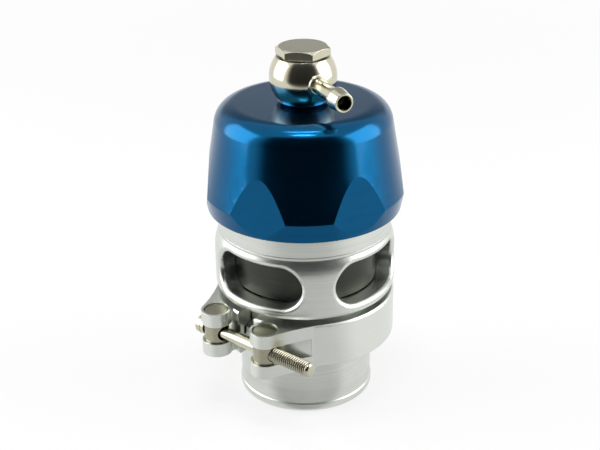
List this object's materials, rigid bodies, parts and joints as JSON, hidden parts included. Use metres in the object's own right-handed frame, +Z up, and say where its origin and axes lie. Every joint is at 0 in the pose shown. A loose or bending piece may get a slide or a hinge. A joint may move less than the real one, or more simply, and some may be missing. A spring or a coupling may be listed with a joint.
{
  "type": "blow-off valve",
  "caption": "Piston blow-off valve with a windowed body, flared cap with scallops, ball banjo with a barbed stem, and a hinged V clamp over a beaded hose spigot.",
  "frame": {"origin": "valve axis at the open end of the hose spigot", "axes": "+Z up the valve's axis towards the banjo, the clamp screw crosses the -Y side along X, the clamp hinge is on the +Y side"},
  "size_m": [0.0562, 0.0635, 0.1023],
  "materials": {
    "turned_aluminium": "satin turned aluminium",
    "milled_aluminium": "satin milled aluminium",
    "blue_anodised": "gloss blue anodised aluminium",
    "hard_anodised": "dark grey hard anodised aluminium",
    "nickel_steel": "nickel-plated steel",
    "nickel_brass": "bright nickel-plated brass",
    "spring_steel": "plain spring steel",
    "seal_rubber": "black nitrile rubber",
    "bearing_plastic": "filled low-friction plastic",
    "bonded_seal": "black sealing washer"
  },
  "bodies": {
    "inlet": {"hose_adapter": "turned_aluminium", "flange_oring": "seal_rubber", "clamp_half_fixed": "milled_aluminium", "hinge_pin": "nickel_steel"},
    "clamp_jaw": {"clamp_half_swinging": "milled_aluminium"},
    "screw_set": {"clamp_screw": "nickel_steel", "plain_barrel": "nickel_steel"},
    "nut_set": {"nut_barrel": "nickel_steel"},
    "valve": {"valve_body": "turned_aluminium", "valve_spring": "spring_steel", "cap_oring": "seal_rubber", "top_cap": "blue_anodised", "lower_seal_washer": "bonded_seal", "upper_seal_washer": "bonded_seal", "banjo_bolt": "nickel_brass"},
    "piston_set": {"piston": "hard_anodised", "seat_seal": "seal_rubber", "wear_ring": "bearing_plastic", "piston_oring": "seal_rubber"},
    "banjo": {"banjo_ball": "nickel_brass", "barb_stem": "nickel_brass"}
  },
  "joints": [
    {"name": "piston_lift", "type": "slide", "parent": "valve", "child": "piston_set", "axis": [0, 0, 1], "range_m": [0, 0.0122], "stiffness_N_per_m": 1800, "springref_m": -0.015, "deforming": ["valve_spring"]},
    {"name": "clamp_open", "type": "hinge", "parent": "inlet", "child": "clamp_jaw", "pos_m": [0, 0.0284, 0.0249], "axis": [0, 0, 1], "range_deg": [0, 13]},
    {"name": "screw_swing", "type": "hinge", "parent": "inlet", "child": "screw_set", "pos_m": [-0.00915, -0.0276, 0.0249], "axis": [0, 0, 1], "range_deg": [0, 6.5]},
    {"name": "nut_swing", "type": "hinge", "parent": "clamp_jaw", "child": "nut_set", "pos_m": [0.00915, -0.0276, 0.0249], "axis": [0, 0, 1], "range_deg": [-6.5, 0]},
    {"name": "valve_clocking", "type": "hinge", "parent": "inlet", "child": "valve", "pos_m": [0, 0, 0.0249], "axis": [0, 0, 1], "continuous": true},
    {"name": "banjo_swivel", "type": "hinge", "parent": "valve", "child": "banjo", "pos_m": [0, 0, 0.094], "axis": [0, 0, 1], "continuous": true}
  ],
  "couplings": [
    {"joint": "screw_swing", "follows": "clamp_open", "ratio": 0.5},
    {"joint": "nut_swing", "follows": "clamp_open", "ratio": -0.5}
  ]
}
